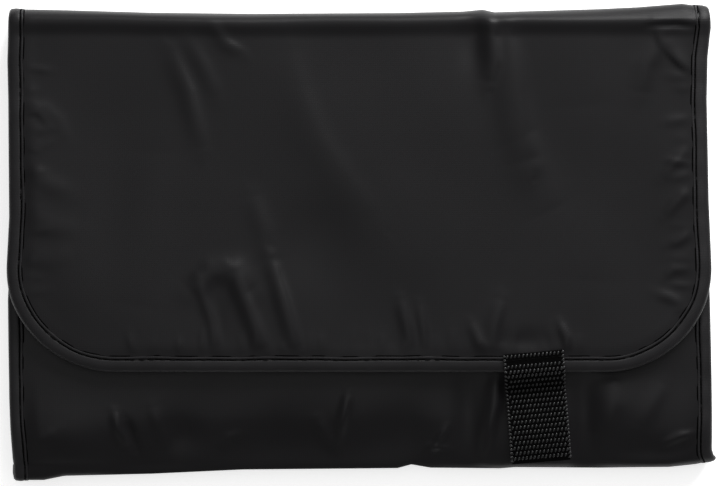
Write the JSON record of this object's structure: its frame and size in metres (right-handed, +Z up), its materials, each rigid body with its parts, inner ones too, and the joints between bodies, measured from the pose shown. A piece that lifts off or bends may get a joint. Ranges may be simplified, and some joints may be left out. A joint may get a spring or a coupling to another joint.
{
  "type": "hanging toiletry bag",
  "caption": "Fabric toiletry bag folded in three, with a rounded flap closed by a webbing tab, zipped inner pockets and a swivelling hanger hook.",
  "frame": {"origin": "centre of the underside of the closed bag, on the surface it lies on", "axes": "+X along the bag's width, to the right of someone facing the flap with its fold at the top; +Y towards the top fold; +Z up out of the flap"},
  "size_m": [0.298, 0.196, 0.03],
  "materials": {
    "nylon": "plain woven black nylon pack cloth, slightly satin",
    "binding_tape": "folded black nylon grosgrain tape",
    "lining": "light woven black nylon lining",
    "foam": "closed-cell foam sheet sewn between the layers",
    "pocket_mesh": "fine black polyester mesh",
    "zip_tape": "woven polyester zip tape",
    "zip_coil": "black nylon coil",
    "zip_metal": "black coated zinc",
    "webbing": "black woven webbing with a few bright filaments",
    "hook_and_loop": "black hook-and-loop tape",
    "hook_plastic": "black moulded acetal",
    "rivet_metal": "black coated steel"
  },
  "bodies": {
    "back": {"back_shell": "nylon", "back_padding": "foam", "back_lining": "lining", "back_binding_left": "binding_tape", "back_binding_right": "binding_tape", "back_pocket_panel": "pocket_mesh", "back_pocket_header": "lining", "back_zip_tape_lower": "zip_tape", "back_zip_tape_upper": "zip_tape", "back_zip_coil_lower": "zip_coil", "back_zip_coil_upper": "zip_coil", "back_zip_stop_left": "zip_metal", "back_zip_stop_right": "zip_metal"},
    "top_fold_strip": {"top_fold_shell": "nylon", "top_fold_padding": "foam", "top_fold_lining": "lining", "top_fold_binding_left": "binding_tape", "top_fold_binding_right": "binding_tape"},
    "flap": {"flap_shell": "nylon", "flap_padding": "foam", "flap_lining": "lining", "flap_binding": "binding_tape", "tab_anchor": "webbing", "hook_webbing": "webbing", "hook_rivet": "rivet_metal"},
    "bottom_fold_strip": {"bottom_fold_shell": "nylon", "bottom_fold_padding": "foam", "bottom_fold_lining": "lining", "bottom_fold_binding_left": "binding_tape", "bottom_fold_binding_right": "binding_tape"},
    "front": {"front_shell": "nylon", "front_padding": "foam", "front_lining": "lining", "front_binding_left": "binding_tape", "front_binding_right": "binding_tape", "front_end_binding": "binding_tape", "front_loop_patch": "hook_and_loop", "front_pocket_panel": "pocket_mesh", "front_pocket_header": "lining", "front_zip_tape_lower": "zip_tape", "front_zip_tape_upper": "zip_tape", "front_zip_coil_lower": "zip_coil", "front_zip_coil_upper": "zip_coil", "front_zip_stop_left": "zip_metal", "front_zip_stop_right": "zip_metal"},
    "closure_tab": {"tab_strap": "webbing", "tab_hook_patch": "hook_and_loop"},
    "hook": {"hanger_hook": "hook_plastic"},
    "back_slider": {"back_zip_slider": "zip_metal", "back_zip_pull": "zip_metal"},
    "front_slider": {"front_zip_slider": "zip_metal", "front_zip_pull": "zip_metal"}
  },
  "joints": [
    {"name": "top_fold", "type": "hinge", "parent": "back", "child": "top_fold_strip", "pos_m": [0, 0.095, 0.003], "axis": [-1, 0, 0], "range_deg": [0, 90]},
    {"name": "flap_turn", "type": "hinge", "parent": "top_fold_strip", "child": "flap", "pos_m": [0, 0.095, 0.0256], "axis": [-1, 0, 0], "range_deg": [0, 90]},
    {"name": "bottom_fold", "type": "hinge", "parent": "back", "child": "bottom_fold_strip", "pos_m": [0, -0.095, 0.003], "axis": [1, 0, 0], "range_deg": [0, 90]},
    {"name": "front_turn", "type": "hinge", "parent": "bottom_fold_strip", "child": "front", "pos_m": [0, -0.095, 0.0169], "axis": [1, 0, 0], "range_deg": [0, 90]},
    {"name": "tab_peel", "type": "hinge", "parent": "flap", "child": "closure_tab", "pos_m": [0.0739, -0.0557, 0.03], "axis": [-0.9963, -0.0854, 0], "range_deg": [0, 150]},
    {"name": "hook_turn", "type": "hinge", "parent": "flap", "child": "hook", "pos_m": [0, -0.0357, 0.0228], "axis": [0, 0, 1], "range_deg": [0, 180]},
    {"name": "back_zip", "type": "slide", "parent": "back", "child": "back_slider", "axis": [-1, 0, 0], "range_m": [0, 0.238]},
    {"name": "front_zip", "type": "slide", "parent": "front", "child": "front_slider", "axis": [-1, 0, 0], "range_m": [0, 0.238]}
  ],
  "couplings": [
    {"joint": "flap_turn", "follows": "top_fold", "ratio": 1},
    {"joint": "bottom_fold", "follows": "top_fold", "ratio": 1},
    {"joint": "front_turn", "follows": "top_fold", "ratio": 1}
  ]
}
